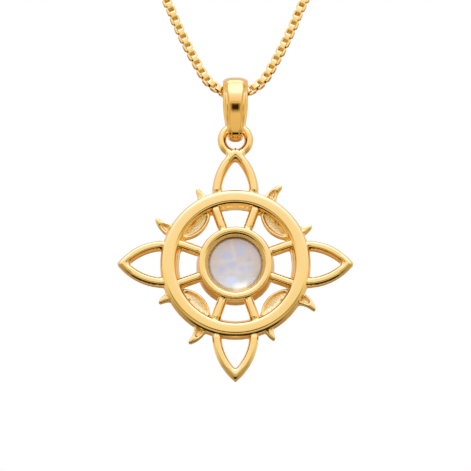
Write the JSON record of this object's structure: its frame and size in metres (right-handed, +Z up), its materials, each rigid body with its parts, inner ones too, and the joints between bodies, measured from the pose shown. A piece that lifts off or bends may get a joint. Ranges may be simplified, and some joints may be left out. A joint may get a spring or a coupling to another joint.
{
  "type": "moonstone pendant necklace",
  "caption": "Necklace of fine box chain with a pierced cross-and-ring pendant, crescent moons behind the ring, a round faceted moonstone in a bezel and a tapered bail.",
  "frame": {"origin": "middle of the clasp, where the loop of chain rests on the nape", "axes": "+Z up, -Y to the front, +X to the wearer's left; the drop hangs below the front of the loop"},
  "size_m": [0.108, 0.122, 0.1653],
  "materials": {
    "gold": "polished yellow gold plate",
    "moonstone": "polished, milky"
  },
  "bodies": {
    "necklace": {"chain": "gold", "clasp": "gold"},
    "bail": {"bail": "gold"},
    "pendant": {"pendant_frame": "gold", "moonstone": "moonstone"}
  },
  "joints": [
    {"name": "bail_swing", "type": "hinge", "parent": "necklace", "child": "bail", "pos_m": [0, -0.118, -0.126], "axis": [1, 0, 0], "range_deg": [-90, 90]},
    {"name": "pendant_swing", "type": "hinge", "parent": "bail", "child": "pendant", "pos_m": [0, -0.118, -0.13168], "axis": [0, 1, 0], "range_deg": [-60, 60]}
  ]
}
